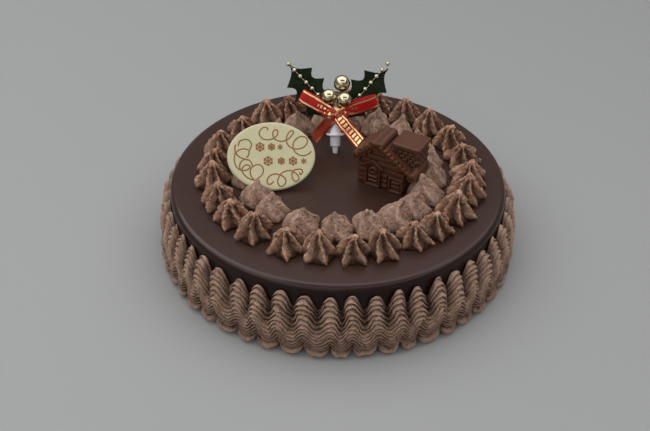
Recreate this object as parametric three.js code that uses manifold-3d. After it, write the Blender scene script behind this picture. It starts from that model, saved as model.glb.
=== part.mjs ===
// A glazed round chocolate cake with piped cream, a white chocolate plaque,
// a moulded chocolate house and a holly pick. Millimetres, +Z up, origin at the centre of the base.
import * as THREE from 'three';
import { mergeVertices } from 'three/addons/utils/BufferGeometryUtils.js';
import Module from 'manifold-3d';

const wasm = await Module();
wasm.setup();

// Glazed cake
const cakeRadius = 75.8;
const cakeHeight = 33.7;
const cakeEdge = 2.9;
const cakeFoot = 0.8;
const clearance = 0.3;

// Ribbed wave piped round the side
const waveCount = 54;
const waveColumns = 6;
const waveStart = 1;
const waveDrift = 0.9;
const waveSpread = 3;
const wavePeak = 29.4;
const waveNotch = 21.6;
const waveLow = 0.4;
const waveLowAtPeak = 1.8;
const waveSway = 0.8;
const waveUneven = 0.8;

// Outer ring of star rosettes, bearings as piped
const starShift = 1.4;
const starRadius = 55.8;
const starOval = 1.7;
const starSideWider = 0.08;
const starWidth = 16;
const starHeight = 11.5;
const starLean = -0.3;
const starRidges = 6;
const starInner = 48.7;
const starOuter = 65;
const starBearings = [
  -171.7, -156.9, -144, -130.4, -113.3, -99.8, -85.3, -72.5, -57.4, -45.7, -32, -17.1, -5.6,
  10.1, 25.9, 41, 55.2, 70, 85, 100, 115.6, 129.4, 144.9, 162.1, 175.8,
];

// Inner ring of plain dollops
const dollopShift = 0.8;
const dollopRadius = 41;
const dollopWidth = 16;
const dollopHeight = 10.7;
const dollopInner = 33.2;
const dollopOuter = 48.3;
const dollopBearings = [
  -171.5, -152.4, -135.3, -113.5, -92, -72.6, -56.1, -39.6, -23.5, -7,
  10, 28, 46, 64, 82, 100, 118, 136, 154, 172,
];

// Oval plaque
const plaqueCentre = new THREE.Vector3(-29.5, -3.76, 46.25);
const plaqueHalfWidth = 19.6;
const plaqueHalfHeight = 15.4;
const plaqueThickness = 2.6;
const plaqueRound = 0.7;
const plaqueTilt = 45;
const plaqueRoll = -3.6;
const plaqueTurn = 10.4;

// Moulded house: x along the front, y to the back, from its front left foot
const houseFoot = new THREE.Vector3(8.9, -4.3, cakeHeight + clearance);
const houseTurn = -29.7;
const houseWidth = 22.4;
const houseDepth = 12.4;
const ridgeAt = 8.6;
const ridgeHeight = 24.1;
const leftEave = 1.6;
const leftEaveHeight = 14.2;
const rightEave = 5.4;
const rightEaveHeight = 11.4;
const roofThickness = 2.4;
const roofOverhang = 1.3;
const blockLeft = 14.3;
const blockRight = 27.5;
const blockFront = 3.2;
const blockBack = 16;
const blockTop = 23;

// Holly pick, leaning back; measured along and across its own peg from where that meets the glaze
const pickFoot = new THREE.Vector3(-1.05, 17.6, cakeHeight + clearance);
const pickTilt = 28;
const stemRadius = 0.6;
const stemTop = 27.5;
const leafLength = 32.4;
const leafThickness = 0.5;
const beadRadius = 1.05;
const beadsPerStrand = 6;
const wireRadius = 0.35;
const strandBack = 1.2;
const ribbonWidth = 6;
const ribbonThickness = 0.5;
const bowCentre = new THREE.Vector3(0, -3, 18.2);

const cake = new THREE.Group();

function radians(degrees) {
  return THREE.MathUtils.degToRad(degrees);
}

// Seeded random numbers from -1 to 1
function seeded(seed) {
  let state = seed;
  return () => {
    state = (state * 16807) % 2147483647;
    return (2 * state) / 2147483647 - 1;
  };
}

// Shared corners joined and collapsed triangles dropped, so that the surface is closed
function closed(geometry) {
  const bare = geometry.clone();
  bare.deleteAttribute('normal');
  bare.deleteAttribute('uv');
  const merged = mergeVertices(bare, 1e-4);
  const kept = [];
  for (let i = 0; i < merged.index.count; i += 3) {
    const corners = [0, 1, 2].map((k) => merged.index.getX(i + k));
    if (new Set(corners).size === 3) {
      kept.push(...corners);
    }
  }
  merged.setIndex(kept);
  merged.clearGroups();
  merged.computeVertexNormals();
  return merged;
}

function toSolid(geometry, matrix = new THREE.Matrix4()) {
  const shape = closed(geometry).applyMatrix4(matrix);
  return new wasm.Manifold(
    new wasm.Mesh({
      numProp: 3,
      vertProperties: new Float32Array(shape.attributes.position.array),
      triVerts: new Uint32Array(shape.index.array),
    }),
  );
}

function toGeometry(solid) {
  const mesh = solid.getMesh();
  const geometry = new THREE.BufferGeometry();
  geometry.setAttribute('position', new THREE.BufferAttribute(mesh.vertProperties, 3));
  geometry.setIndex(new THREE.BufferAttribute(mesh.triVerts, 1));
  return closed(geometry);
}

function fuse(geometries) {
  const solids = geometries.map((geometry) => toSolid(geometry));
  return toGeometry(solids.reduce((whole, piece) => whole.add(piece)));
}

// What is left of a piece where others press into it: its largest remainder
function pressed(mesh, cutters) {
  mesh.updateMatrix();
  const inverse = mesh.matrix.clone().invert();
  let solid = toSolid(mesh.geometry);
  for (const cutter of cutters) {
    const matrix = inverse.clone().multiply(cutter.matrix);
    solid = solid.subtract(toSolid(cutter.geometry, matrix));
  }
  const pieces = solid.decompose();
  pieces.sort((a, b) => b.volume() - a.volume());
  mesh.geometry = toGeometry(pieces[0].simplify(0.02));
  return mesh;
}

function addMesh(name, geometry, colour, roughness, metalness, parent = cake) {
  const material = new THREE.MeshStandardMaterial({ color: colour, roughness, metalness });
  const mesh = new THREE.Mesh(geometry, material);
  mesh.name = name;
  parent.add(mesh);
  return mesh;
}

function turned(points, segments) {
  const profile = points.map(([radius, height]) => new THREE.Vector2(radius, height));
  return new THREE.LatheGeometry(profile, segments).rotateX(Math.PI / 2);
}

// A solid of one outline in x and z, from front to back along y
function prism(outline, front, back) {
  const shape = new THREE.Shape(outline.map(([x, z]) => new THREE.Vector2(x, z)));
  const geometry = new THREE.ExtrudeGeometry(shape, { depth: back - front, bevelEnabled: false });
  return geometry.rotateX(Math.PI / 2).translate(0, back, 0);
}

function block(left, right, front, back, low, high) {
  const geometry = new THREE.BoxGeometry(right - left, back - front, high - low);
  return geometry.translate((left + right) / 2, (front + back) / 2, (low + high) / 2);
}

// A thin sheet closed round its edge, with both faces triangulated alike
function sheet(columns, rows, pointAt) {
  const face = new THREE.PlaneGeometry(1, 1, columns, rows);
  const count = face.attributes.position.count;
  const points = [];
  for (const side of [1, -1]) {
    for (let i = 0; i < count; i += 1) {
      const u = face.attributes.uv.getX(i);
      const v = 2 * face.attributes.uv.getY(i) - 1;
      points.push(pointAt(u, v, side));
    }
  }
  const front = Array.from(face.index.array);
  const back = front.map((corner) => corner + count).reverse();
  const rim = [];
  const stride = columns + 1;
  for (let row = 0; row < rows; row += 1) {
    rim.push(row * stride);
  }
  for (let column = 0; column < columns; column += 1) {
    rim.push(rows * stride + column);
  }
  for (let row = rows; row > 0; row -= 1) {
    rim.push(row * stride + columns);
  }
  for (let column = columns; column > 0; column -= 1) {
    rim.push(column);
  }
  const wall = rim.flatMap((a, i) => {
    const b = rim[(i + 1) % rim.length];
    return [a, a + count, b + count, a, b + count, b];
  });
  const geometry = new THREE.BufferGeometry().setFromPoints(points);
  geometry.setIndex([...front, ...back, ...wall]);
  return closed(geometry);
}

// Glazed cake with its soft top edge
function cakeGeometry() {
  const profile = [[0, 0], [cakeRadius - cakeFoot, 0], [cakeRadius, cakeFoot]];
  for (let step = 0; step <= 3; step += 1) {
    const angle = (step / 3) * (Math.PI / 2);
    const inset = cakeEdge * (1 - Math.cos(angle));
    const height = cakeHeight - cakeEdge * (1 - Math.sin(angle));
    profile.push([cakeRadius - inset, height]);
  }
  profile.push([0, cakeHeight]);
  return closed(turned(profile, 60));
}

// One band that sways up and down: fingers point up the side, bulges hang between them
function waveGeometry() {
  const random = seeded(811);
  const lift = Array.from({ length: waveCount }, () => waveUneven * random());
  const swell = Array.from({ length: waveCount }, () => 0.4 * random());
  const columns = waveCount * waveColumns;
  const section = [
    [5.4, 0.44, -0.2], [4.2, 0.68, 0.7], [2.2, 0.9, 1], [clearance, 1, 0],
    [clearance, 0.03, 0], [3.4, 0, -1], [5.7, 0.08, -1],
  ];
  const ring = new THREE.TorusGeometry(cakeRadius, 1, section.length, columns);
  const position = ring.attributes.position;
  for (let i = 0; i < position.count; i += 1) {
    const column = i % (columns + 1);
    const row = Math.floor(i / (columns + 1)) % section.length;
    const wave = Math.round(column / waveColumns) % waveCount;
    const even = (column / columns) * 2 * Math.PI;
    const drift = radians(waveDrift) * (Math.cos(4 * (even + radians(92))) - 1);
    const bearing = even + drift + radians(waveSpread) * Math.cos(even);
    const sway = Math.cos(even * waveCount);
    const rise = ((1 + sway) / 2) ** 0.6;
    const top = waveNotch + (wavePeak - waveNotch + lift[wave]) * rise;
    const dip = 1 - ((1 - sway) / 2) ** 0.6;
    const low = waveLow + (waveLowAtPeak - waveLow) * dip;
    const [reach, share, bulge] = section[row];
    const outward = reach > clearance ? reach + waveSway * bulge * sway + swell[wave] : reach;
    const radius = cakeRadius + outward;
    const height = low + share * (top - low);
    position.setXYZ(i, radius * Math.cos(bearing), radius * Math.sin(bearing), height);
  }
  return closed(ring);
}

// The ring is a little oval, wider from side to side
function ringAt(piping, angle) {
  return piping.ringRadius + piping.oval * Math.cos(angle) ** 2;
}

// Piped drop: a turned profile with ridges, leaning a little, kept inside its own sector of the ring
function pipedGeometry(piping, angle, before, after, random) {
  const { profile, columns, grooves, loose, height, inward } = piping;
  const ringRadius = ringAt(piping, angle);
  const width = piping.width * (1 + piping.sideWider * Math.cos(angle) ** 2);
  const inner = piping.inner + ringRadius - piping.ringRadius;
  const outer = piping.outer + ringRadius - piping.ringRadius + (width - piping.width) / 2;
  const scale = 1 + 0.06 * random();
  const stretch = 1 + 0.09 * random();
  const turn = Math.PI / columns * 2 + loose * random();
  const lean = new THREE.Vector2(inward + 1.4 * random(), 1.4 * random());
  const uneven = Array.from({ length: columns }, () => 1 + 0.06 * random());
  const points = profile.map(([radius, level]) => new THREE.Vector2(radius, level));
  const lathe = new THREE.LatheGeometry(points, columns);
  const position = lathe.attributes.position;
  for (let i = 0; i < position.count; i += 1) {
    const column = Math.floor(i / points.length) % columns;
    const row = i % points.length;
    const level = points[row].y;
    const groove = column % 2 === 1 ? grooves[row] : 1;
    const radius = points[row].x * (width / 2) * scale * groove * uneven[column];
    const heading = (column / columns) * 2 * Math.PI + turn;
    const along = ringRadius + radius * Math.cos(heading) + lean.x * level * level;
    const across = radius * Math.sin(heading) + lean.y * level * level;
    const distance = THREE.MathUtils.clamp(Math.hypot(along, across), inner, outer);
    const spare = (clearance * 0.6) / distance;
    const bearing = THREE.MathUtils.clamp(Math.atan2(across, along), spare - before, after - spare);
    position.setXYZ(
      i,
      distance * Math.cos(bearing) - ringRadius,
      distance * Math.sin(bearing),
      level * height * stretch,
    );
  }
  return closed(lathe);
}

function addRing(prefix, bearings, piping, seed, colour, cutters) {
  const random = seeded(seed);
  bearings.forEach((bearing, i) => {
    const previous = bearings[(i + bearings.length - 1) % bearings.length];
    const next = bearings[(i + 1) % bearings.length];
    const before = radians(THREE.MathUtils.euclideanModulo(bearing - previous, 360) / 2);
    const after = radians(THREE.MathUtils.euclideanModulo(next - bearing, 360) / 2);
    const angle = radians(bearing);
    const geometry = pipedGeometry(piping, angle, before, after, random);
    const name = prefix + String(i + 1).padStart(2, '0');
    const mesh = addMesh(name, geometry, colour, 0.75, 0);
    const ringRadius = ringAt(piping, angle);
    mesh.position.set(
      ringRadius * Math.cos(angle) + piping.shift,
      ringRadius * Math.sin(angle),
      cakeHeight + clearance,
    );
    mesh.rotation.z = angle;
    pressed(mesh, cutters);
  });
}

// Oval plate with rounded edges; its front face is at z = 0
function plaqueGeometry(margin) {
  const round = plaqueRound;
  const low = -plaqueThickness - margin;
  const profile = [[0, low], [1 - round / plaqueHalfWidth, low], [1, low + round]];
  profile.push([1, margin - round], [1 - round / plaqueHalfWidth, margin], [0, margin]);
  const plate = turned(profile, 36);
  return closed(plate.scale(plaqueHalfWidth + margin, plaqueHalfHeight + margin, 1));
}

// Walls, roof and the flat-topped block on the roof, each grown by the margin
function houseMain(margin) {
  const slopeLeft = (ridgeHeight - leftEaveHeight) / (ridgeAt + leftEave);
  const slopeRight = (ridgeHeight - rightEaveHeight) / (houseWidth + rightEave - ridgeAt);
  const drop = roofThickness / 2;
  const m = margin;
  const walls = prism(
    [
      [-m, -m],
      [houseWidth + m, -m],
      [houseWidth + m, rightEaveHeight + rightEave * slopeRight - drop],
      [ridgeAt, ridgeHeight - drop],
      [-m, leftEaveHeight + leftEave * slopeLeft - drop],
    ],
    -m,
    houseDepth + m,
  );
  const roof = prism(
    [
      [-leftEave - m, leftEaveHeight - roofThickness - m],
      [ridgeAt, ridgeHeight - roofThickness - m],
      [houseWidth + rightEave + m, rightEaveHeight - roofThickness - m],
      [houseWidth + rightEave + m, rightEaveHeight + m],
      [ridgeAt, ridgeHeight + 1.5 * m],
      [-leftEave - m, leftEaveHeight + m],
    ],
    -roofOverhang - m,
    houseDepth + roofOverhang + m,
  );
  const body = block(blockLeft, blockRight - 0.6, blockFront + 0.6, blockBack - 0.6, 14, blockTop - 1);
  const cap = block(
    blockLeft - m,
    blockRight + m,
    blockFront - m,
    blockBack + m,
    blockTop - 2.2 - m,
    blockTop + m,
  );
  return [walls, roof, body, cap];
}

// Log ends along the front edges of the roof
function logEnds() {
  const ends = [];
  const front = -roofOverhang;
  const add = (x, z) => {
    const log = new THREE.CylinderGeometry(1.25, 1.25, 2.2, 6);
    ends.push(log.translate(x, front + 0.5, z - 0.7));
  };
  for (let i = 0; i < 4; i += 1) {
    const share = (i + 0.3) / 4;
    add(
      THREE.MathUtils.lerp(-leftEave + 1, ridgeAt, share),
      THREE.MathUtils.lerp(leftEaveHeight + 0.8, ridgeHeight, share),
    );
  }
  for (let i = 0; i < 7; i += 1) {
    const share = (i + 0.2) / 7;
    add(
      THREE.MathUtils.lerp(ridgeAt, houseWidth + rightEave - 1, share),
      THREE.MathUtils.lerp(ridgeHeight, rightEaveHeight + 0.6, share),
    );
  }
  return ends;
}

// Door with its gabled hood, window, brick column and log courses on the front
function houseFront() {
  const hood = prism(
    [[2.6, 8.3], [7.8, 12.2], [12.6, 8.6], [12.6, 10.2], [7.8, 14], [2.6, 9.9]],
    -1.3,
    0.4,
  );
  const door = prism([[4, 0.2], [11.4, 0.2], [11.4, 9.6], [7.8, 12.6], [4, 9.6]], -0.5, 0.4);
  const panel = block(5.4, 10, -0.9, 0.4, 1.4, 5.4);
  const lamp = new THREE.CylinderGeometry(1.3, 1.3, 1.4, 10).translate(7.8, -0.3, 8.4);
  const frame = [
    block(15.8, 22, -0.9, 0.4, 6.6, 7.8),
    block(15.8, 22, -0.9, 0.4, 0.2, 1.2),
    block(15.8, 16.8, -0.9, 0.4, 0.6, 7.2),
    block(21, 22, -0.9, 0.4, 0.6, 7.2),
    block(18.4, 19.4, -0.6, 0.4, 0.6, 7.2),
  ];
  const bricks = [1.2, 4, 6.8].map((low) => block(12.9, 15, -0.9, 0.4, low, low + 2));
  return [hood, door, panel, lamp, ...frame, ...bricks];
}

function houseGeometry() {
  return fuse([...houseMain(0), ...logEnds(), ...houseFront()]);
}

// Holly leaf upward from its base, with three spines on each side, bent back from the stem
function leafGeometry() {
  const spines = [[0, 0.9], [0.295, 7.8], [0.52, 8.9], [0.745, 7.4], [1, 0.35]];
  const notch = [0.4, 2.9, 3.2, 2.2];
  const columns = 12;
  return sheet(columns, 2, (u, v, side) => {
    const station = u * 4;
    const arc = Math.min(3, Math.floor(station + 1e-6));
    const share = station - arc;
    const [t0, w0] = spines[arc];
    const [t1, w1] = spines[arc + 1];
    const half = THREE.MathUtils.lerp(w0, w1, share) - notch[arc] * Math.sin(Math.PI * share);
    const along = THREE.MathUtils.lerp(t0, t1, share) * leafLength;
    const bend = THREE.MathUtils.smoothstep(along / leafLength, 0, 0.2);
    const wave = 0.7 * v * v * Math.cos(Math.PI * station) * bend;
    const depth = 3.1 * bend + wave + (side * leafThickness) / -2;
    return new THREE.Vector3(-v * half, depth, along);
  });
}

function wireGeometry(points, steps) {
  const extrudePath = new THREE.CatmullRomCurve3(points);
  const circle = new THREE.Shape().absarc(0, 0, wireRadius, 0, 2 * Math.PI);
  return new THREE.ExtrudeGeometry(circle, { steps, extrudePath, curveSegments: 2, bevelEnabled: false });
}

// Wire with beads along a line from start to end
function strandGeometry(start, end, inner) {
  const pieces = [wireGeometry([inner, start, end], 5)];
  for (let i = 0; i < beadsPerStrand; i += 1) {
    const centre = start.clone().lerp(end, i / (beadsPerStrand - 1));
    const bead = new THREE.OctahedronGeometry(beadRadius, 1);
    pieces.push(bead.translate(centre.x, centre.y, centre.z));
  }
  return fuse(pieces);
}

// Ribbon loop from the knot out to its end and back, gathered at the knot
function loopGeometry(reach) {
  const length = reach.length();
  const out = reach.clone().normalize();
  const depth = new THREE.Vector3(0, 1, 0);
  const width = new THREE.Vector3().crossVectors(out, depth);
  const centre = (u) =>
    out
      .clone()
      .multiplyScalar(length * Math.sin(Math.PI * u))
      .addScaledVector(depth, -0.9 * Math.cos(Math.PI * u) - 0.7 * Math.sin(2 * Math.PI * u));
  return sheet(12, 1, (u, v, side) => {
    const ahead = centre(u + 0.01).sub(centre(u - 0.01)).normalize();
    const normal = new THREE.Vector3().crossVectors(ahead, width);
    const gathered = 0.6 + 0.4 * THREE.MathUtils.smoothstep(Math.sin(Math.PI * u), 0, 0.6);
    return centre(u)
      .addScaledVector(width, (v * gathered * ribbonWidth) / 2)
      .addScaledVector(normal, (side * ribbonThickness) / 2)
      .add(bowCentre);
  });
}

// Ribbon tail that hangs from the knot, cut on the slant
function tailGeometry(reach, half, slant) {
  const out = reach.clone().normalize();
  const depth = new THREE.Vector3(0, 1, 0);
  const width = new THREE.Vector3().crossVectors(out, depth).normalize();
  const normal = new THREE.Vector3().crossVectors(out, width).normalize();
  return sheet(4, 1, (u, v, side) => {
    const length = reach.length() + slant * v * u;
    const sway = 0.8 * Math.sin(2 * Math.PI * u);
    const across = THREE.MathUtils.lerp(1.2, half, Math.min(1, 2 * u));
    return bowCentre
      .clone()
      .addScaledVector(out, length * u)
      .addScaledVector(width, v * across)
      .addScaledVector(normal, sway + (side * ribbonThickness) / 2);
  });
}

function bowGeometry() {
  const knot = new THREE.SphereGeometry(1, 8, 6).scale(2.5, 1.9, 2.7);
  return fuse([
    knot.translate(bowCentre.x, bowCentre.y, bowCentre.z),
    loopGeometry(new THREE.Vector3(-16, 0, 8.5)),
    loopGeometry(new THREE.Vector3(19.2, 0, 6.2)),
    tailGeometry(new THREE.Vector3(-10.2, 3.4, -12.2), 2.5, 0.6),
    tailGeometry(new THREE.Vector3(11.4, -5.2, -13), 2.9, -0.6),
  ]);
}

function pickGeometry() {
  const foot = 0.55;
  const profile = [
    [0, foot], [1.1, foot], [1.4, 2.6], [2.3, 2.8], [2.5, 7.7], [4.3, 7.95], [4.3, 8.65],
    [2.5, 8.85], [2.4, 13.2], [stemRadius, 13.6], [stemRadius, stemTop], [0, stemTop],
  ];
  return closed(turned(profile, 12));
}

addMesh('glazed_cake', cakeGeometry(), 0x2f2120, 0.35, 0);
addMesh('wave_border', waveGeometry(), 0x735b50, 0.75, 0).rotation.z = radians(waveStart);

// The plaque leans back on the cream
const plaqueLean = new THREE.Group();
plaqueLean.position.copy(plaqueCentre);
plaqueLean.rotation.z = radians(plaqueTurn);
cake.add(plaqueLean);
const plaque = addMesh('plaque', plaqueGeometry(0), 0xe6e0bc, 0.5, 0, plaqueLean);
plaque.rotation.set(radians(plaqueTilt), 0, radians(plaqueRoll));

const house = addMesh('house', houseGeometry(), 0x4a2d22, 0.45, 0);
house.position.copy(houseFoot);
house.rotation.z = radians(houseTurn);

// Cream gives way to the plaque and the house
cake.updateMatrixWorld(true);
const cutters = [{ geometry: plaqueGeometry(clearance), matrix: plaque.matrixWorld }];
for (const piece of houseMain(clearance)) {
  cutters.push({ geometry: piece, matrix: house.matrixWorld });
}
const starPiping = {
  profile: [[0, 0], [0.96, 0], [0.94, 0.24], [0.62, 0.6], [0.22, 0.88], [0, 1]],
  columns: starRidges * 2,
  grooves: [1, 0.76, 0.6, 0.5, 0.56, 1],
  loose: 0.35,
  width: starWidth,
  height: starHeight,
  inward: starLean,
  shift: starShift,
  ringRadius: starRadius,
  oval: starOval,
  sideWider: starSideWider,
  inner: starInner,
  outer: starOuter,
};
const dollopPiping = {
  profile: [[0, 0], [0.98, 0], [0.95, 0.22], [0.68, 0.55], [0.28, 0.82], [0, 1]],
  columns: 10,
  grooves: [1, 0.98, 0.96, 0.94, 0.92, 1],
  loose: Math.PI,
  width: dollopWidth,
  height: dollopHeight,
  inward: 0,
  shift: dollopShift,
  ringRadius: dollopRadius,
  oval: 0,
  sideWider: 0,
  inner: dollopInner,
  outer: dollopOuter,
};
addRing('star_', starBearings, starPiping, 1207, 0x6e564b, cutters);
addRing('dollop_', dollopBearings, dollopPiping, 4099, 0x75604f, cutters);

// Holly pick: white peg, two leaves, two bead strands, three balls and a bow
const pickLean = new THREE.Group();
pickLean.position.copy(pickFoot);
pickLean.rotation.x = radians(-pickTilt);
cake.add(pickLean);
addMesh('pick', pickGeometry(), 0xd9d9e2, 0.4, 0, pickLean);

const leafTurns = { left: 38.6, right: -44.6 };
for (const [side, turn] of Object.entries(leafTurns)) {
  const mirror = side === 'left' ? -1 : 1;
  const leaf = addMesh('leaf_' + side, leafGeometry(), 0x10241a, 0.35, 0, pickLean);
  leaf.position.set(mirror * 1.7, 0.1, 15.5);
  leaf.rotation.y = radians(-turn);
}

const strands = {
  left: [new THREE.Vector3(-8.2, strandBack, 26.6), new THREE.Vector3(-21.9, strandBack, 40.6)],
  right: [new THREE.Vector3(11.2, strandBack, 26.3), new THREE.Vector3(24.1, strandBack, 41)],
};
for (const [side, [start, end]] of Object.entries(strands)) {
  const mirror = side === 'left' ? -1 : 1;
  const inner = new THREE.Vector3(mirror * 1.2, strandBack - 0.4, 20.6);
  addMesh('beads_' + side, strandGeometry(start, end, inner), 0xcfc08f, 0.3, 0.8, pickLean);
}

// Each ball is on a short wire that runs down beside the stem
const balls = {
  top: [new THREE.Vector3(2.7, -0.4, 32), 3.6, new THREE.Vector3(1.2, -0.7, 27.2)],
  left: [new THREE.Vector3(-3.1, -3.3, 27.2), 3.3, new THREE.Vector3(-1, -0.9, 22.6)],
  right: [new THREE.Vector3(4.6, -3.3, 25.8), 3.3, new THREE.Vector3(1.05, -0.9, 22)],
};
for (const [place, [centre, radius, wireEnd]] of Object.entries(balls)) {
  const ball = new THREE.SphereGeometry(radius, 12, 8).translate(centre.x, centre.y, centre.z);
  const geometry = fuse([ball, wireGeometry([centre, wireEnd], 1)]);
  addMesh('ball_' + place, geometry, 0xc9b988, 0.12, 1, pickLean);
}

addMesh('ribbon_bow', bowGeometry(), 0xa01820, 0.4, 0, pickLean);

export default cake;
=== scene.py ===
import math
import bmesh
import bpy
from mathutils import Matrix, Vector, noise


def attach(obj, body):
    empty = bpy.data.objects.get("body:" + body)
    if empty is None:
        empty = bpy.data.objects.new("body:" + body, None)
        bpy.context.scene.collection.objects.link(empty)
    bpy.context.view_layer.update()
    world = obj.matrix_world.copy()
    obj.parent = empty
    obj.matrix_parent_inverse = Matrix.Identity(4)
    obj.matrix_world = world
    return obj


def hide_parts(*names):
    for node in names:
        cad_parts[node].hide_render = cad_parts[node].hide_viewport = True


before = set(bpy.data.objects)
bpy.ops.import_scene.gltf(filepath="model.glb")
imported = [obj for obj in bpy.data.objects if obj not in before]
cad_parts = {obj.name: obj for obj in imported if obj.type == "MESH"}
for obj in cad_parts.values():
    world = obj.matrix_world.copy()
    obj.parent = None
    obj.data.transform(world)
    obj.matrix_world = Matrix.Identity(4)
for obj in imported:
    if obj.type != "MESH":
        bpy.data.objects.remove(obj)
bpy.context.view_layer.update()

scene = bpy.context.scene
mm = 0.001  # pieces are shaped in millimetres and brought to metres when they are finished
fullTurn = 2 * math.pi
print("cake frame loaded")


# Camera, light and floor

studio = {
    "aim": (-5.703, 12.369, 0.0),
    "distance": 440.04,
    "height": 38.386,  # degrees above the floor
    "roll": 0.00426,
    "film": 36,
    "lens": 900 / 650,  # in film widths
    "near": 0.01,
    "floorSize": 3.0,
    "floorPaintedLight": (0.428, 0.432, 0.429, 1),  # painted light: paler to the front left
    "floorPaintedShade": (0.318, 0.321, 0.319, 1),  # painted shade: darker to the back right
    "floorPaintedFade": (0.41, 0.9, 1.3),  # share of painted shade at the middle, and more for each metre to the right and back
    "sky": (0.95, 0.97, 1.0, 1),
    "skyStrength": 0.2,
    "ceiling": 1.25,
    "panels": {"left": (-1.8, -0.5, -1.3, 1.3), "right": (0.9, 1.5, -1.3, 1.3),
               "back": (-0.5, 0.9, -0.15, 1.3), "front": (-0.5, 0.9, -1.3, -0.8)},
    "panelPower": 4.3,  # watts a square metre
    "fill": {"at": (-0.7, -1.9, 1.0), "size": (1.8, 0.9), "power": 3.6},
}


class Tap:  # a socket, with the sums that the finishes need
    def __init__(self, tree, socket=None):
        self.tree = tree
        self.socket = socket

    def node(self, kind, settings=None, sockets=None, output=0):
        made = self.tree.nodes.new("ShaderNode" + kind)
        for key, value in (settings or {}).items():
            if key == "stops":
                ramp = made.color_ramp.elements
                while len(ramp) < len(value):
                    ramp.new(0.5)
                for stop, (place, shade) in zip(ramp, value):
                    stop.position = place
                    stop.color = (shade, shade, shade, 1)
            else:
                setattr(made, key, value)
        for key, value in (sockets or {}).items():
            if isinstance(value, Tap):
                self.tree.links.new(value.socket, made.inputs[key])
            else:
                made.inputs[key].default_value = value
        return Tap(self.tree, made.outputs[output])

    def sum(self, operation, first, second):
        return self.node("Math", {"operation": operation}, {0: first, 1: second})

    def __add__(self, other):
        return self.sum("ADD", self, other)

    def __radd__(self, other):
        return self.sum("ADD", other, self)

    def __sub__(self, other):
        return self.sum("SUBTRACT", self, other)

    def __rsub__(self, other):
        return self.sum("SUBTRACT", other, self)

    def __mul__(self, other):
        return self.sum("MULTIPLY", self, other)

    def __rmul__(self, other):
        return self.sum("MULTIPLY", other, self)

    def __truediv__(self, other):
        return self.sum("DIVIDE", self, other)


def newFinish(name, **fixed):
    finish = bpy.data.materials.new(name)
    finish.use_nodes = True
    tree = finish.node_tree
    shader = tree.nodes["Principled BSDF"]
    for key, value in fixed.items():
        shader.inputs[key.replace("_", " ")].default_value = value
    return finish, shader, Tap(tree).node("TexCoord", output=3)


def feed(shader, taps):
    for key, tap in taps.items():
        tap.tree.links.new(tap.socket, shader.inputs[key])


def cloud(place, size, detail=3.0, rough=0.5, stretch=0.0):  # soft noise, size in millimetres
    return place.node("TexNoise", {"noise_dimensions": "3D"},
                      {"Vector": place, "Scale": 1 / (size * mm), "Detail": detail,
                       "Roughness": rough, "Distortion": stretch})


def part(vector, axis):
    return vector.node("SeparateXYZ", {}, {0: vector}, "xyz".index(axis))


def ramped(value, *stops):
    return value.node("ValToRGB", {"stops": stops}, {0: value})


def tinted(share, low, high):
    return share.node("Mix", {"data_type": "RGBA"}, {0: share, 6: low, 7: high}, 2)


def dented(height, strength, depth):  # depth in millimetres
    return height.node("Bump", {}, {"Strength": strength, "Distance": depth * mm, "Height": height})


# reads the painted shade mask that the shaping code stores on each vertex
def paintedShadeMaskOf(place):
    return place.node("Attribute", {"attribute_name": "hollow"}, {}, 2)


def mottledFinish(name, low, high, tone, fine, rough, dent=None, sunk=None, **fixed):  # two colours mixed, with painted shade mixed in where the mask is set
    finish, shader, place = newFinish(name, **fixed)
    tone, fine = cloud(place, *tone), cloud(place, *fine)
    colour = tinted(tone, low, high)
    if sunk:
        colour = tinted(paintedShadeMaskOf(place), colour, sunk)
    feed(shader, {"Base Color": colour, "Roughness": rough[0] + rough[1] * fine})
    if dent:
        share, strength, depth = dent
        feed(shader, {"Normal": dented(tone + share * fine, strength, depth)})
    return finish


def addLight(name, at, size, power):  # a soft panel that shines down
    light = bpy.data.lights.new(name, "AREA")
    light.shape = "RECTANGLE"
    light.size, light.size_y = size
    light.energy = power
    holder = bpy.data.objects.new(name, light)
    holder.location = at
    scene.collection.objects.link(holder)
    return holder


def objectOf(name, bm, *finishes):  # uses the bmesh up
    mesh = bpy.data.meshes.new(name)
    bm.to_mesh(mesh)
    bm.free()
    for finish in finishes:
        mesh.materials.append(finish)
    return bpy.data.objects.new(name, mesh)


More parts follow.
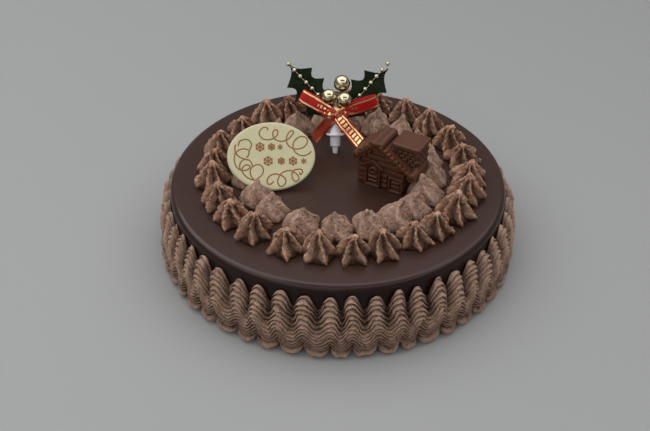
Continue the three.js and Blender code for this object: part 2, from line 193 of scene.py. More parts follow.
def setStudio():
    tilt = math.radians(studio["height"])
    aim = Vector(studio["aim"])
    eyeAt = aim + studio["distance"] * Vector((0, -math.cos(tilt), math.sin(tilt)))
    eye = bpy.data.objects.new("eye", bpy.data.cameras.new("eye"))
    eye.data.sensor_width = studio["film"]
    eye.data.lens = studio["lens"] * studio["film"]
    eye.data.clip_start = studio["near"]
    eye.matrix_world = (Matrix.Translation(eyeAt * mm) @ Matrix.Rotation(math.pi / 2 - tilt, 4, "X")
                        @ Matrix.Rotation(studio["roll"], 4, "Z"))
    scene.collection.objects.link(eye)
    scene.camera = eye

    for name, (left, right, near, far) in studio["panels"].items():
        wide, deep = right - left, far - near
        at = ((left + right) / 2, (near + far) / 2, studio["ceiling"])
        addLight(name, at, (wide, deep), studio["panelPower"] * wide * deep)
    fill = addLight("fill", **studio["fill"])
    fill.rotation_euler = (-fill.location).to_track_quat("-Z", "Y").to_euler()

    world = bpy.data.worlds.new("studio")
    world.use_nodes = True
    sky = world.node_tree.nodes["Background"]
    sky.inputs["Color"].default_value = studio["sky"]
    sky.inputs["Strength"].default_value = studio["skyStrength"]
    scene.world = world
    scene.view_settings.view_transform = "Standard"

    finish, shader, place = newFinish("paleFloor", Roughness=0.9)
    across, back = part(place, "x"), part(place, "y")
    middle, toRight, toBack = studio["floorPaintedFade"]
    # painted light and shade: the floor colour goes from pale at the front left to darker at the back right
    shade = middle + toRight * across + toBack * back + 0.1 * cloud(place, 300, 2)
    feed(shader, {"Base Color": tinted(shade, studio["floorPaintedLight"], studio["floorPaintedShade"])})
    bm = bmesh.new()
    bmesh.ops.create_grid(bm, x_segments=8, y_segments=8, size=studio["floorSize"])
    floor = objectOf("floor", bm, finish)
    scene.collection.objects.link(floor)


setStudio()
print("studio set")


# Shared shaping

def seeded(seed):  # draws from -1 to 1, the same on every run
    state = seed
    while True:
        state = state * 16807 % 2147483647
        yield 2 * state / 2147483647 - 1


def lerp(low, high, share):
    return low + (high - low) * share


def ease(low, high, value):
    share = min(1, max(0, (value - low) / (high - low)))
    return share * share * (3 - 2 * share)


def grain(x, y, z, size, seed=0):
    return noise.noise(Vector((x / size + 7.3 * seed, y / size + 3.1 * seed, z / size + 5.7 * seed)))


def lumps(x, y, z, layers):  # unevenness of several sizes: each one's size, height and seed
    return sum(much * grain(x, y, z, size, seed) for size, much, seed in layers)


def along(table, value):  # straight steps between the pairs of a table
    for (low, a), (high, b) in zip(table, table[1:]):
        if value <= high:
            return lerp(a, b, (value - low) / (high - low))
    return table[-1][1]


def softLine(points, count):  # even samples on a soft line through the points
    knots = [Vector(point) for point in points]
    reach = [0]
    for a, b in zip(knots, knots[1:]):
        reach.append(reach[-1] + (b - a).length)
    samples = []
    for step in range(count):
        goal = reach[-1] * step / (count - 1)
        i = max(k for k in range(len(knots) - 1) if reach[k] <= goal + 1e-9)
        t = (goal - reach[i]) / (reach[i + 1] - reach[i])
        a, b, c, d = (knots[min(len(knots) - 1, max(0, i + k))] for k in (-1, 0, 1, 2))
        samples.append((2 * b + (c - a) * t + (2 * a - 5 * b + 4 * c - d) * t ** 2
                        + (3 * b - a - 3 * c + d) * t ** 3) / 2)
    return samples


def spinLine(points, steps):  # a line of radius and height, spun round the upright axis
    bm = bmesh.new()
    line = [bm.verts.new((radius, 0, height)) for radius, height in points]
    edges = [bm.edges.new(pair) for pair in zip(line, line[1:])]
    bmesh.ops.spin(bm, geom=line + edges, axis=(0, 0, 1), angle=fullTurn, steps=steps, use_merge=True)
    bmesh.ops.remove_doubles(bm, verts=bm.verts, dist=0.001)
    return bm


def pipedLines(lines, radius, steps=6):  # soft lines of round section
    curve = bpy.data.curves.new("line", "CURVE")
    curve.dimensions = "3D"
    curve.bevel_depth = radius
    curve.bevel_resolution = 2
    curve.resolution_u = steps
    curve.use_fill_caps = True
    for line in lines:
        spline = curve.splines.new("BEZIER")
        spline.bezier_points.add(len(line) - 1)
        for knot, point in zip(spline.bezier_points, line):
            knot.co = point
            knot.handle_left_type = knot.handle_right_type = "AUTO"
    return meshOf(bpy.data.objects.new("line", curve))


def meshOf(holder):  # a made object, modifiers and all, as a bmesh
    scene.collection.objects.link(holder)
    shown = holder.evaluated_get(bpy.context.evaluated_depsgraph_get())
    mesh = bpy.data.meshes.new_from_object(shown)
    bpy.data.objects.remove(holder)
    bm = bmesh.new()
    bm.from_mesh(mesh)
    bpy.data.meshes.remove(mesh)
    return bm


def moved(bm, verts, way):
    bmesh.ops.translate(bm, vec=way, verts=verts)


def turned(bm, verts, angle, axis):
    bmesh.ops.rotate(bm, matrix=Matrix.Rotation(angle, 3, axis), verts=verts)


def pointed(bm, verts, way):  # turns what stands upright to lie along the way
    bmesh.ops.rotate(bm, matrix=way.to_track_quat("Z", "Y").to_matrix(), verts=verts)


def drawnOut(bm, faces, way):  # flat faces become a solid
    made = bmesh.ops.extrude_face_region(bm, geom=faces)["geom"]
    moved(bm, [item for item in made if isinstance(item, bmesh.types.BMVert)], way)


def rounded(bm, edges, radius, steps):
    bmesh.ops.bevel(bm, geom=edges, offset=radius, affect="EDGES", segments=steps, profile=0.5, material=-1)


def addPiece(name, bm, finish, slot, *nodes):
    bmesh.ops.recalc_face_normals(bm, faces=bm.faces)
    bmesh.ops.scale(bm, vec=(mm, mm, mm), verts=bm.verts)
    piece = objectOf(name, bm, finish)
    piece.data.shade_smooth()
    scene.collection.objects.link(piece)
    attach(piece, "root")
    if nodes:
        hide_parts(*nodes)


# Glazed cake

cake = {
    "radius": 75.8,
    "height": 33.7,
    "edge": 2.9,
    "foot": 0.8,
    "steps": 240,
    "rings": {"under": (40,), "side": (8, 16, 23), "top": (69, 64, 56, 48, 40, 32, 24, 16, 8, 0)},
    "dent": (0.12, 26),  # height and size
    "bulge": (0.002, 30),  # share of the radius and size
    "rim": [(0.8, 0), (0.93, 1), (0.985, 1), (0.998, 0)],  # how level a face is where the edge shines
    "shine": {"From Min": -0.06, "From Max": 0.05, "To Min": 0.6, "To Max": 0.12},  # from left to right
    "dark": (0.044, 0.0205, 0.0150, 1),
    "light": (0.057, 0.0280, 0.0210, 1),
    # painted shade: the upright side below the rounded edge is coloured darker than the top
    "side": (0.0105, 0.0022, 0.0016, 1),
}


def glazeFinish():
    finish, shader, place = newFinish("glaze", Specular_IOR_Level=0.22, Coat_Roughness=0.12)
    broad = cloud(place, 24, 3)
    fine = cloud(place, 2.5, 3)
    height = part(place, "z")
    # side runs from 0 on the top to 1 below the rounded edge; it mixes in the painted shade of the side and
    # also sets the roughness
    side = height.node("MapRange", {}, {"Value": height, "From Min": cake["height"] * mm,
                                        "From Max": (cake["height"] - cake["edge"]) * mm})
    rim = ramped(part(place.node("TexCoord", output=1), "z"), *cake["rim"])
    shine = place.node("MapRange", {}, {"Value": part(place, "x"), **cake["shine"]})
    feed(shader, {
        "Base Color": tinted(side, tinted(broad, cake["dark"], cake["light"]), cake["side"]),
        "Roughness": 0.25 + 0.1 * broad + 0.03 * fine - 0.6 * side * (1 - side),
        "Coat Weight": shine * rim,
        "Normal": dented(broad, 0.2, 0.8),
    })
    return finish


def makeCake():
    radius, height, edge = cake["radius"], cake["height"], cake["edge"]
    rings, foot = cake["rings"], cake["foot"]
    line = [(0, 0), *((r, 0) for r in rings["under"]), (radius - foot, 0), (radius, foot)]
    line += [(radius, z) for z in rings["side"]]
    for step in range(15):
        angle = step / 14 * math.pi / 2
        line.append((radius - edge * (1 - math.cos(angle)), height - edge * (1 - math.sin(angle))))
    line += [(r, height) for r in rings["top"]]
    bm = spinLine(line, cake["steps"])
    (dent, dentSize), (bulge, bulgeSize) = cake["dent"], cake["bulge"]
    for vert in bm.verts:
        x, y, z = vert.co
        top = ease(height - edge, height, z)
        vert.co.z += dent * top * grain(x, y, 0, dentSize)
        side = 1 - top if z > foot else 0
        vert.co.xy *= 1 + bulge * side * grain(x, y, z, bulgeSize, 2)
    addPiece("glazedTop", bm, glazeFinish(), "glaze", "glazed_cake")


makeCake()
print("cake glazed")


# Cream finishes

# The third colour of each cream is painted shade, which the vertex mask lays in grooves, clefts and at the
# foot.
creamLook = {
    "border": {
        "shade": (0.37, 0.228, 0.157, 1),
        "body": (0.69, 0.464, 0.350, 1),
        "sunk": (0.048, 0.020, 0.011, 1),
        "grit": 0.6,
        "pore": (0.8, 0.75),  # size, and share of painted shade in the pores
    },
    "star": {
        "shade": (0.34, 0.166, 0.100, 1),
        "body": (0.98, 0.605, 0.425, 1),
        "sunk": (0.047, 0.017, 0.008, 1),
        "grit": 0.9,
        "pore": (1.0, 0.85),
    },
    "soft": {
        "shade": (0.22, 0.122, 0.080, 1),
        "body": (0.80, 0.535, 0.410, 1),
        "sunk": (0.08, 0.040, 0.024, 1),
        "grit": 0.6,
        "pore": (0.85, 0.9),
    },
    # colour of the pores: real pits, with the shade inside them painted in as dark colour
    "pore": (0.06, 0.027, 0.016, 1),
    "roughness": 0.62,
}


def creamFinish(kind):
    look = creamLook[kind]
    poreSize, poreShare = look["pore"]
    finish, shader, place = newFinish(kind + "Cream", Subsurface_Weight=0.06, Subsurface_Scale=0.0008,
                                      Specular_IOR_Level=0.2)
    tone = cloud(place, 4, 4, 0.6)
    speck = cloud(place, look["grit"], 4, 0.7)
    sunk = paintedShadeMaskOf(place)
    pores = ramped(cloud(place, poreSize, 2, 0.6), (0.57, 0), (0.68, 1))
    pores = pores * ramped(cloud(place, 3.4, 2), (0.42, 0), (0.6, 1))
    mottle = ramped(0.4 * tone + 0.6 * speck, (0.34, 0), (0.64, 1))
    # painted shade: the vertex mask darkens grooves, clefts and the foot towards the third colour
    colour = tinted(sunk, tinted(mottle, look["shade"], look["body"]), look["sunk"])
    feed(shader, {
        "Base Color": tinted(poreShare * pores, colour, creamLook["pore"]),
        "Roughness": creamLook["roughness"] + 0.2 * (speck - 0.5),
        "Normal": dented(speck - 0.8 * poreShare * pores, 0.8, 0.6),
    })
    return finish


borderCream = creamFinish("border")
starCream = creamFinish("star")
softCream = creamFinish("soft")
print("cream mixed")


# Ribbed wave round the side

border = {
    "count": 54,
    "perWave": 15,
    "rows": 114,
    "inside": 5,
    "seed": 811,
    "ridges": 13,
    "capRidges": 0.7,
    "crowd": (0.09, 0.62),  # ridges lie closer together lower down
    "radius": 75.8,
    "start": 1.0,
    "drift": (0.9, 92),  # degrees, and degrees by which its pattern is turned back
    "spread": 3.0,
    "peak": 29.4,
    "notch": 21.6,
    "low": 0.3,
    "lowAtPeak": 1.8,
    "petal": 0.19,
    "uneven": {"lift": 0.8, "swell": 0.4, "sag": 0.014, "slip": 0.22, "aside": 0.09},
    "lumps": {"phase": [(5, 0.3, 1), (2.2, 0.18, 6)], "depth": [(6, 0.7, 2)],
              "out": [(1.4, 0.6, 3), (0.7, 0.3, 9)], "swell": [(7, 0.6, 4)],
              "round": [(8, 0.012, 8)], "up": [(2.4, 0.4, 5), (1.1, 0.25, 7)]},
    "finger": [(0.0, 2.2), (0.05, 3.3), (0.12, 4.2), (0.2, 4.8), (0.3, 5.3), (0.45, 5.5), (0.6, 5.1),
               (0.75, 4.2), (0.86, 3.3), (0.94, 2.3), (0.98, 1.4), (1.0, 0.4)],
    "lobe": [(0.0, 3.8), (0.02, 5.4), (0.05, 6.5), (0.09, 6.7), (0.15, 6.3), (0.2, 5.9), (0.3, 5.7),
             (0.4, 5.4), (0.5, 4.9), (0.65, 3.6), (0.8, 2.0), (0.9, 1.1), (0.96, 0.7), (1.0, 0.3)],
    "ridgeDepth": 1.9,
    "least": 0.3,
}


def riseAt(off, level):  # 1 on a finger and 0 between two: scallops at the foot, blunt tips at the top
    swing = (1 + math.sin(1.25 * math.cos(math.pi * off)) / math.sin(1.25)) / 2
    near = 1 - (math.sqrt(off * off + 0.03) - 0.173) / 0.842
    scallop = (1 - math.sqrt(1 - min(1, near) ** 2)) ** 1.3
    rise = lerp(scallop, swing, ease(0.1, 0.4, level))
    return lerp(rise, swing ** 0.55, ease(0.6, 1, level))


def ridgeAt(level):  # turns of the ridges up to a level, above one broad petal at the foot
    petal = border["petal"]
    crowd, power = border["crowd"]
    above = max(0, level - petal) / (1 - petal)
    phase = border["ridges"] * ((above + crowd) ** power - crowd ** power)
    return phase + border["capRidges"] * ease(0.84, 1, level) - max(0, 1 - level / petal)


def shadeAt(level, rise, ridge):  # painted shade between the ridges, between the fingers, above the petals and near the top
    cleft = (1 - rise) ** 2 * ease(0.4, 0.8, level) + rise ** 2 * (1 - ease(0.05, 0.3, level))
    under = lerp(0.3, 0.5, ease(0.14, 0.24, level)) * (1 - ease(0.24, 0.55, level))
    return min(1, 0.68 * ridge + 0.8 * cleft + under + 0.12 * ease(0.7, 0.95, level))


def makeBorder():
    count, rows, inside, lump = (border[key] for key in ("count", "rows", "inside", "lumps"))
    drift, driftFrom = (math.radians(angle) for angle in border["drift"])
    draw = seeded(border["seed"])
    lift, swell, sag, slip, aside = ([much * next(draw) for wave in range(count)]
                                     for much in border["uneven"].values())
    bm = bmesh.new()  # a grid, x round the ring and y round the section, which is then wrapped round
    bmesh.ops.create_grid(bm, x_segments=count * border["perWave"], y_segments=rows + inside, size=0.5)
    moved(bm, bm.verts, (0.5, 0.5, 0))
    hollow = bm.verts.layers.float.new("hollow")
    for vert in bm.verts:
        turn = vert.co.x % 1 * fullTurn
        step = vert.co.y * (rows + inside)
        level = 1 - (1 - step / rows) ** 1.08 if step <= rows else (rows + inside - step) / inside
        at = turn * count / fullTurn
        wave = int(at + 0.5) % count
        shift = lerp(aside[int(at)], aside[(int(at) + 1) % count], ease(0, 1, at % 1))
        side = ((at + shift + 0.5) % 1 - 0.5) * 2
        off = abs(side)  # 0 on a finger, 1 between two
        rise = riseAt(off, level)
        bearing = turn + drift * (math.cos(4 * (turn + driftFrom)) - 1)
        bearing += math.radians(border["start"] + border["spread"] * math.cos(turn))
        x, y = border["radius"] * math.cos(bearing), border["radius"] * math.sin(bearing)
        low = lerp(border["low"], border["lowAtPeak"], rise)
        top = lerp(border["notch"], border["peak"] + lift[wave], rise)
        height = lerp(low, top, level)
        out = border["least"]
        if step < rows:
            out = lerp(along(border["lobe"], level), along(border["finger"], level), rise)
            out += swell[wave] * rise * (1 - ease(0.9, 1, level))
            phase = ridgeAt(level) + lumps(x, y, height, lump["phase"])
            phase += slip[wave] * rise * ease(0.2, 0.6, level)
            roll = abs(math.sin(math.pi * phase))
            edge = ease(0, 0.04, level) * (1 - ease(0.97, 1, level))
            depth = edge * border["ridgeDepth"] * lerp(0.5, 1, level)
            depth *= 1 + lumps(x, y, height, lump["depth"])
            out += depth * (roll - 0.65) + edge * lumps(x, y, height, lump["out"])
            out += ease(0, 0.06, level) * (1 - ease(0.94, 1, level)) * lumps(x, y, height, lump["swell"])
            bearing += lumps(x, y, height, lump["round"]) * ease(0, 0.2, level)
            bearing += sag[wave] * rise * level * level
            flank = math.copysign(math.sin(math.pi * off), side) * ease(0.3, 0.6, level)
            bearing += 0.5 * flank * depth * (roll - 0.3) / border["radius"]
            height += edge * lumps(x, y, height, lump["up"])
            vert[hollow] = shadeAt(level, rise, edge * (1 - roll) ** 1.5)
        radius = border["radius"] + max(border["least"], out)
        vert.co = (radius * math.cos(bearing), radius * math.sin(bearing), max(0.1, height))
    bmesh.ops.remove_doubles(bm, verts=bm.verts, dist=0.002)
    addPiece("waveBorder", bm, borderCream, "cream", "wave_border")


makeBorder()
print("wave border piped")


# Plaque place, which the cream gives way to

plaque = {
    "centre": (-29.5, -3.76, 46.25),
    "halfWidth": 19.6,
    "halfHeight": 15.4,
    "thickness": 2.6,
    "round": 0.9,
    "turn": 10.4,
    "tilt": 45.0,
    "roll": -3.6,
    "finish": {"low": (0.64, 0.59, 0.355, 1), "high": (0.745, 0.70, 0.45, 1), "tone": (9, 3),
               "fine": (0.8, 2), "rough": (0.42, 0.12), "dent": (0.08, 0.2, 0.4),
               "Subsurface_Weight": 0.15, "Subsurface_Scale": 0.002},
    "print": {"low": (0.30, 0.115, 0.035, 1), "high": (0.40, 0.18, 0.06, 1), "tone": (1.6, 3),
              "fine": (0.6, 2), "rough": (0.5, 0.1), "Specular_IOR_Level": 0.3},
    "steps": 112,
    "inset": 1.2,
    "lineRadius": 0.3,
    "lineFlat": 0.3,
    "lineLift": 0.01,
    "margin": 0.3,
    "press": 0.05,
    "strokes": {
        "leftOuter": [
            (-15.6, 5.8), (-16, 4.2), (-15.9, 2.6), (-15, 0.9), (-13.5, -0.3), (-11.8, -0.9), (-10, -1.5),
            (-9, -2.8), (-8.6, -4.3)],
        "leftTop": [
            (-14.4, 5.1), (-13.8, 7), (-12.2, 7.8), (-10.4, 7.8), (-9, 6.7), (-8.6, 5.2), (-9.2, 3.8),
            (-9.8, 2.6), (-9.9, 1.7), (-10.3, 0.5), (-11.2, -0.3)],
        "leftArch": [
            (-15.9, 1.8), (-15.1, 2.6), (-13.8, 3.4), (-12, 3.7), (-10.1, 3.1)],
        "leftTail": [
            (-15.9, 2.2), (-16.4, 0.2), (-16.4, -2.1), (-15.8, -4.1), (-14.4, -5.5), (-12.9, -6),
            (-11.2, -5.8), (-10.1, -5), (-9.8, -4.3), (-10.6, -3.6), (-11.8, -3.7), (-12.8, -4.4),
            (-13.3, -5.7), (-13, -7.1), (-11.7, -8.7), (-10, -9.9), (-8.3, -10.3), (-6.3, -9.6),
            (-4.7, -8.2), (-4, -6.6), (-4.2, -4.9), (-5.5, -3.7), (-7.1, -3.7), (-8.4, -4.4),
            (-9.5, -5.5), (-9.8, -7.2), (-9.3, -9), (-8.2, -10.5)],
        "leftInner": [
            (-10, -1.5), (-11.7, -1.1), (-13.2, -1.7), (-14.1, -3.1), (-14.3, -4.6), (-13.9, -5.5)],
        "topRun": [
            (-0.9, 11.7), (-1.3, 12.7), (-2.5, 13.1), (-4, 12.2), (-4.9, 10.6), (-4.5, 9.1), (-3.1, 7.8),
            (-1.2, 7.4), (0.8, 7.7), (2.2, 8.5), (3.2, 9.8), (3.2, 11.3), (2.4, 11.8), (1.4, 11.1),
            (1.1, 9.7), (1.5, 8.2), (2.7, 7.1), (4.6, 6.5), (6.6, 6.8), (8.2, 7.7), (9.6, 9.2),
            (10.4, 10.5), (10, 11.1), (9, 10.9), (7.8, 9.7), (7.1, 7.9), (7.1, 6.1), (7.8, 4.5),
            (9.3, 3.3), (11.1, 2.8), (13.3, 3), (15.3, 4.1), (16.3, 5.8), (16.1, 7.4), (15, 8.2),
            (13.4, 8.3), (11.6, 7.4), (10.3, 6), (9.8, 4.2), (10.1, 2.4), (11.2, 0.8), (12.8, -0.1),
            (14.6, -0.3), (16.5, 0.3), (17.9, 1.5)],
        "lowRun": [
            (0.2, -11.3), (-0.3, -12.1), (-1.8, -12.6), (-2.4, -12), (-2.5, -10.7), (-1.7, -9.3),
            (-0.3, -8.4), (1.5, -8.1), (3.5, -8.7), (5, -9.7), (5.7, -11.1), (5.4, -12.5), (4.2, -13.6),
            (3, -13.6), (2.2, -12.3), (2.2, -10.8), (3, -9.2), (4.2, -7.8), (6, -7), (8.1, -6.8),
            (9.8, -7.7), (11.1, -9), (11.6, -10.3), (11, -11.4), (9.9, -11.7), (8.9, -10.8), (8.6, -9.4),
            (8.8, -7.9), (9.8, -6.7), (11.2, -6.4), (12.8, -6.5), (13.4, -7.1), (13.1, -8.1),
            (12.3, -8.7), (12.1, -7.8)],
    },
    "crystals": [(-4.9, 4.3, 2.2), (0.2, 4.1, 1.7), (4.0, 3.9, 1.3),
                 (-1.6, -2.2, 2.3), (4.2, -2.4, 1.7), (9.4, -2.6, 2.1), (14.2, -2.8, 1.4)],
    "crystal": {"turn": 0.5, "fork": 0.55, "branch": 0.4, "spread": 55, "plainBelow": 1.5},
}
plaquePlace = (Matrix.Translation(plaque["centre"]) @ Matrix.Rotation(math.radians(plaque["turn"]), 4, "Z")
               @ Matrix.Rotation(math.radians(plaque["tilt"]), 4, "X")
               @ Matrix.Rotation(math.radians(plaque["roll"]), 4, "Z"))
plaqueFrom = plaquePlace.inverted()


def giveWay(bm):  # cream that the plaque presses is pushed flat against its back, or its front
    middle = sum((plaqueFrom @ vert.co for vert in bm.verts), Vector()) / len(bm.verts)
    back = -plaque["thickness"] - plaque["press"]
    wide, high = plaque["halfWidth"] + plaque["margin"], plaque["halfHeight"] + plaque["margin"]
    for vert in bm.verts:
        at = plaqueFrom @ vert.co
        if math.hypot(at.x / wide, at.y / high) < 1:
            pushed = min(at.z, back) if middle.z < 0 else max(at.z, plaque["press"])
            if pushed != at.z:
                vert.co = plaquePlace @ Vector((at.x, at.y, pushed))


# Piped stars and dollops

star = {
    "ring": 55.8,
    "oval": 1.7,
    "sideWider": 0.08,
    "shift": 1.4,
    "width": 16.0,
    "height": 11.5,
    "inward": -0.3,
    "ridges": 6,
    "loose": 0.35,
    "columns": 120,
    "rows": 48,
    "draws": 12,
    "seed": 1207,
    "bearings": [-171.7, -156.9, -144, -130.4, -113.3, -99.8, -85.3, -72.5, -57.4, -45.7, -32, -17.1, -5.6,
                 10.1, 25.9, 41, 55.2, 70, 85, 100, 115.6, 129.4, 144.9, 162.1, 175.8],
    "profile": [(0, 0), (0.55, 0), (0.94, 0), (1.04, 0.05), (1.06, 0.14), (1.01, 0.27), (0.87, 0.42),
                (0.69, 0.58), (0.49, 0.73), (0.29, 0.87), (0.12, 0.96), (0, 1)],
    "groove": [(0, 0.80), (0.08, 0.77), (0.18, 0.62), (0.32, 0.46), (0.6, 0.34), (0.85, 0.38),
               (0.95, 0.8), (1, 1)],
    "sharp": 0.6,
    "folds": 0.12,
    "lump": [(5.5, 0.7), (2.0, 0.5), (0.9, 0.6)],
    "twist": 0.45,
    "tip": 0.5,
    "curl": 0.6,
    # strength of the painted shade in the grooves, then the share of it that starts just off each crest and
    # leaves the crests as bright lines
    "sunk": 0.92,
    "crest": 0.3,
}
dollop = {
    "ring": 41.0,
    "oval": 0.0,
    "sideWider": 0.0,
    "shift": 0.8,
    "width": 16.4,
    "height": 10.7,
    "inward": 0.0,
    "ridges": 5,
    "loose": math.pi,
    "columns": 80,
    "rows": 46,
    "draws": 10,
    "seed": 4099,
    "bearings": [-171.5, -152.4, -135.3, -113.5, -92, -72.6, -56.1, -39.6, -23.5, -7,
                 10, 28, 46, 64, 82, 100, 118, 136, 154, 172],
    "profile": [(0, 0), (0.55, 0), (0.96, 0), (1.02, 0.05), (1.0, 0.14), (0.92, 0.28), (0.79, 0.44),
                (0.62, 0.60), (0.43, 0.74), (0.25, 0.86), (0.11, 0.95), (0, 1)],
    "groove": [(0, 0.90), (0.3, 0.82), (0.7, 0.74), (0.9, 0.8), (1, 1)],
    "sharp": 0.9,
    "folds": 0.09,
    "lump": [(5.0, 0.6), (1.9, 0.35), (0.8, 0.28)],
    "twist": 0.9,
    "tip": 1.6,
    "curl": 1.6,
    # strength of the painted shade in the grooves, and none of it starting just off the crests
    "sunk": 0.3,
    "crest": 0.0,
}
handMade = {"scale": 0.06, "stretch": 0.09, "lean": 1.4, "round": 0.06, "overlap": 0.9, "firstSeed": 31,
            "foldsRound": 6, "foldsUp": 1.5, "lumpsUp": 0.6, "squash": 6, "footShade": 0.45}


def pipeOne(piping, bearing, before, after, draw, seed):
    scale = 1 + handMade["scale"] * next(draw)
    stretch = 1 + handMade["stretch"] * next(draw)
    turn = math.pi / piping["ridges"] + piping["loose"] * next(draw)
    lean = Vector((piping["inward"] + handMade["lean"] * next(draw), handMade["lean"] * next(draw)))
    uneven = [1 + handMade["round"] * next(draw) for column in range(piping["draws"])]
    sideways = math.cos(math.radians(bearing)) ** 2
    ring = piping["ring"] + piping["oval"] * sideways
    half = piping["width"] / 2 * scale * (1 + piping["sideWider"] * sideways)
    bm = spinLine(softLine(piping["profile"], piping["rows"]), piping["columns"])
    hollow = bm.verts.layers.float.new("hollow")
    around, upward, squash = (handMade[key] for key in ("foldsRound", "foldsUp", "squash"))
    own = seeded(seed)
    twist = piping["twist"] * next(own)
    curl = Vector((next(own), next(own))) * piping["curl"]
    for vert in bm.verts:
        angle = math.atan2(vert.co.y, vert.co.x)
        share, level = vert.co.xy.length, vert.co.z
        aside = 1 - abs((angle * piping["ridges"] / fullTurn) % 1 - 0.5) * 2
        groove = along(piping["groove"], level)
        aside = math.sin(aside * math.pi / 2) ** piping["sharp"]
        at = (angle / fullTurn % 1) * piping["draws"]
        first = uneven[int(at) % piping["draws"]]
        second = uneven[(int(at) + 1) % piping["draws"]]
        radius = share * half * lerp(1, groove, aside) * lerp(first, second, at % 1)
        folds = grain(around * math.cos(angle), around * math.sin(angle), upward * level, 1, seed)
        radius *= 1 + piping["folds"] * folds
        heading = angle + turn + twist * level
        tail = ease(0.8, 1, level)
        x = radius * math.cos(heading) + lean.x * level * level + curl.x * tail
        y = radius * math.sin(heading) + lean.y * level * level + curl.y * tail
        z = level * piping["height"] * stretch + piping["tip"] * ease(0.86, 1, level)
        loose = ease(0, 0.12, level)
        for k, (size, much) in enumerate(piping["lump"]):
            x += loose * much * grain(x, y, z, size, seed + k)
            y += loose * much * grain(x, y, z, size, seed + k + 20)
            z += handMade["lumpsUp"] * loose * much * grain(x, y, z, size, seed + k + 40)
        room = (before if y < 0 else after) * (ring + x) + handMade["overlap"]
        y /= (1 + abs(y / room) ** squash) ** (1 / squash)
        # painted shade: darker off the crests and in the grooves, and darker at the foot
        valley = piping["crest"] * ease(0.15, 0.5, aside) + (1 - piping["crest"]) * aside ** 1.6
        vert[hollow] = piping["sunk"] * valley * (1 - ease(0.75, 1, level))
        vert[hollow] += handMade["footShade"] * (1 - ease(0, 0.25, level))
        vert.co = (ring + x, y, cake["height"] + max(0, z))
    turned(bm, bm.verts, math.radians(bearing), "Z")
    moved(bm, bm.verts, (piping["shift"], 0, 0))
    giveWay(bm)
    return bm


def pipeRing(piping, pieceName, nodeName, finish, slot):
    draw = seeded(piping["seed"])
    bearings = piping["bearings"]
    for i, bearing in enumerate(bearings):
        before = math.radians((bearing - bearings[i - 1]) % 360 / 2)
        after = math.radians((bearings[(i + 1) % len(bearings)] - bearing) % 360 / 2)
        bm = pipeOne(piping, bearing, before, after, draw, handMade["firstSeed"] + i)
        addPiece(f"{pieceName}{i + 1:02d}", bm, finish, slot, f"{nodeName}_{i + 1:02d}")


pipeRing(star, "pipedStar", "star", starCream, "cream")
pipeRing(dollop, "pipedDollop", "dollop", softCream, "soft_cream")
print("stars and dollops piped")


# Plaque with its scrolls

def makePlaque():
    bm = bmesh.new()
    bmesh.ops.create_circle(bm, cap_ends=True, segments=plaque["steps"], radius=1)
    bmesh.ops.scale(bm, vec=(plaque["halfWidth"], plaque["halfHeight"], 1), verts=bm.verts)
    drawnOut(bm, bm.faces[:], (0, 0, -plaque["thickness"]))
    rims = [edge for edge in bm.edges if abs(edge.verts[0].co.z - edge.verts[1].co.z) < 0.01]
    rounded(bm, rims, plaque["round"], 4)
    flat = [face for face in bm.faces if len(face.verts) == plaque["steps"]]
    bmesh.ops.inset_region(bm, faces=flat, thickness=plaque["inset"])
    bmesh.ops.transform(bm, matrix=plaquePlace, verts=bm.verts)
    ivory = mottledFinish("whiteChocolate", **plaque["finish"])
    addPiece("ovalPlaque", bm, ivory, "white_chocolate", "plaque")

    lines = [[(x, y, 0) for x, y in stroke] for stroke in plaque["strokes"].values()]
    crystal = plaque["crystal"]
    for x, y, size in plaque["crystals"]:
        for arm in range(6):
            angle = arm * fullTurn / 6 + crystal["turn"]
            out = Vector((math.cos(angle), math.sin(angle), 0))
            centre = Vector((x, y, 0))
            lines.append([centre, centre + out * size])
            if size > crystal["plainBelow"]:
                fork = centre + out * size * crystal["fork"]
                for side in (-1, 1):
                    branch = Matrix.Rotation(side * math.radians(crystal["spread"]), 3, "Z") @ out
                    lines.append([fork, fork + branch * size * crystal["branch"]])
    bm = pipedLines(lines, plaque["lineRadius"])
    bmesh.ops.scale(bm, vec=(1, 1, plaque["lineFlat"]), verts=bm.verts)
    moved(bm, bm.verts, (0, 0, plaque["lineLift"]))
    bmesh.ops.transform(bm, matrix=plaquePlace, verts=bm.verts)
    addPiece("plaqueScrolls", bm, mottledFinish("printedLines", **plaque["print"]), "milk_chocolate")


makePlaque()
print("plaque printed")


# Moulded chocolate house

